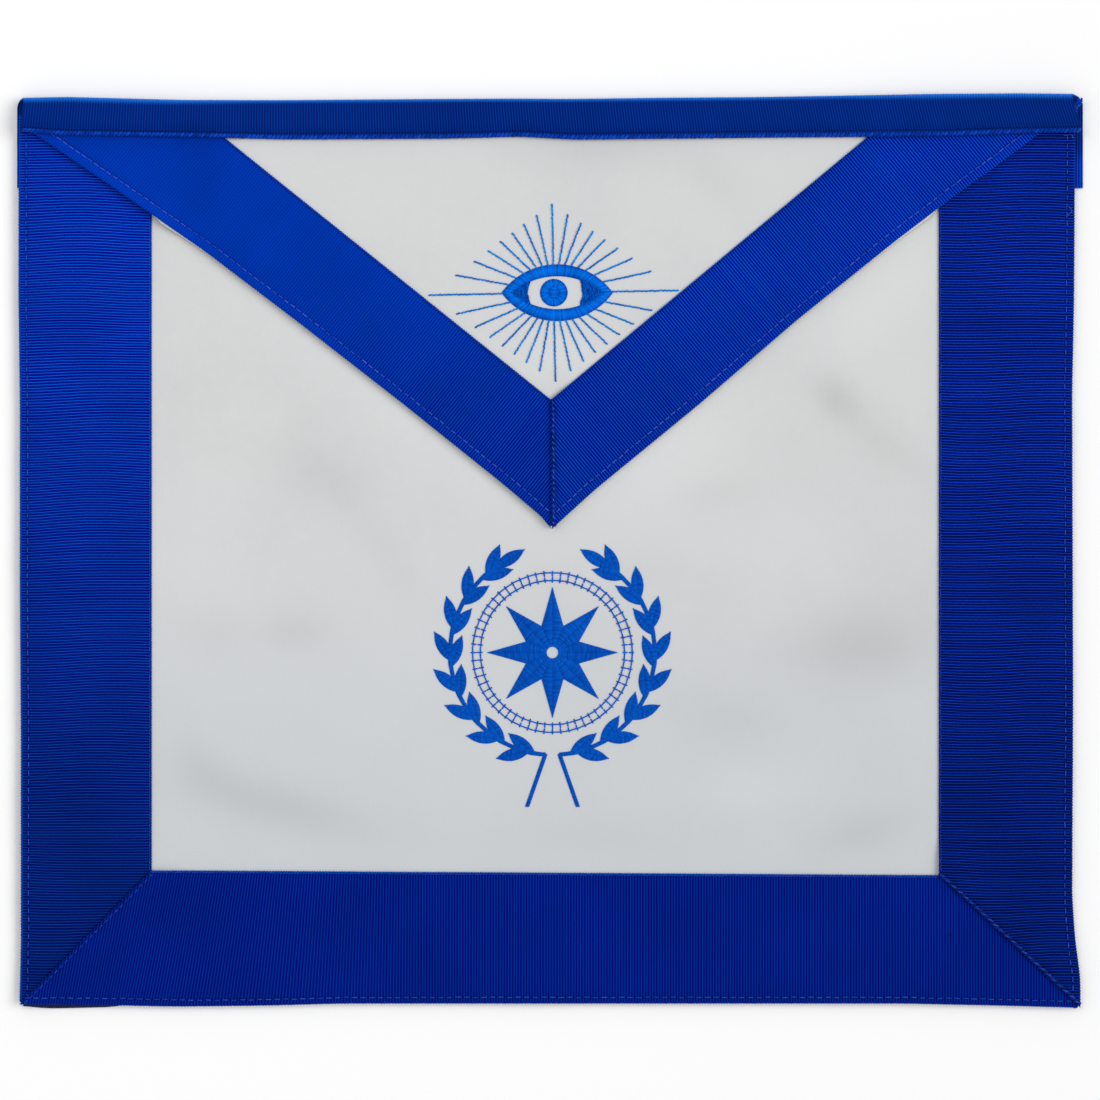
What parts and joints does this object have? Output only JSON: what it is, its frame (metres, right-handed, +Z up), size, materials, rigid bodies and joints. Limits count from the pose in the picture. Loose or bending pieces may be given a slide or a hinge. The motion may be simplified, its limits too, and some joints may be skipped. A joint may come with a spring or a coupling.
{
  "type": "masonic apron",
  "caption": "Flat ceremonial leather apron with a pointed flap, ribbed ribbon borders, a folded waistband and embroidered ornaments.",
  "frame": {"origin": "middle of the apron's footprint, on the surface that it lies on", "axes": "+X along the waistband to the right as the picture shows it, +Y towards the waistband, +Z up from the surface, out of the front"},
  "size_m": [0.412, 0.3538, 0.008],
  "materials": {
    "white_leather": "smooth fine-grained white leather, soft satin",
    "blue_ribbon": "ribbed royal blue ribbon with a soft sheen",
    "navy_lining": "matt dark navy woven cloth",
    "azure_thread": "glossy azure embroidery thread",
    "royal_thread": "glossy royal blue embroidery thread"
  },
  "bodies": {
    "root": {"lining": "navy_lining", "body_panel": "white_leather", "border_left": "blue_ribbon", "border_right": "blue_ribbon", "border_bottom": "blue_ribbon", "flap_panel": "white_leather", "flap_ribbon_left": "blue_ribbon", "flap_ribbon_right": "blue_ribbon", "waistband": "blue_ribbon", "eye_rim": "azure_thread", "eye_iris": "azure_thread", "emblem_star": "royal_thread", "sprig_left": "royal_thread", "sprig_right": "royal_thread"}
  },
  "joints": []
}
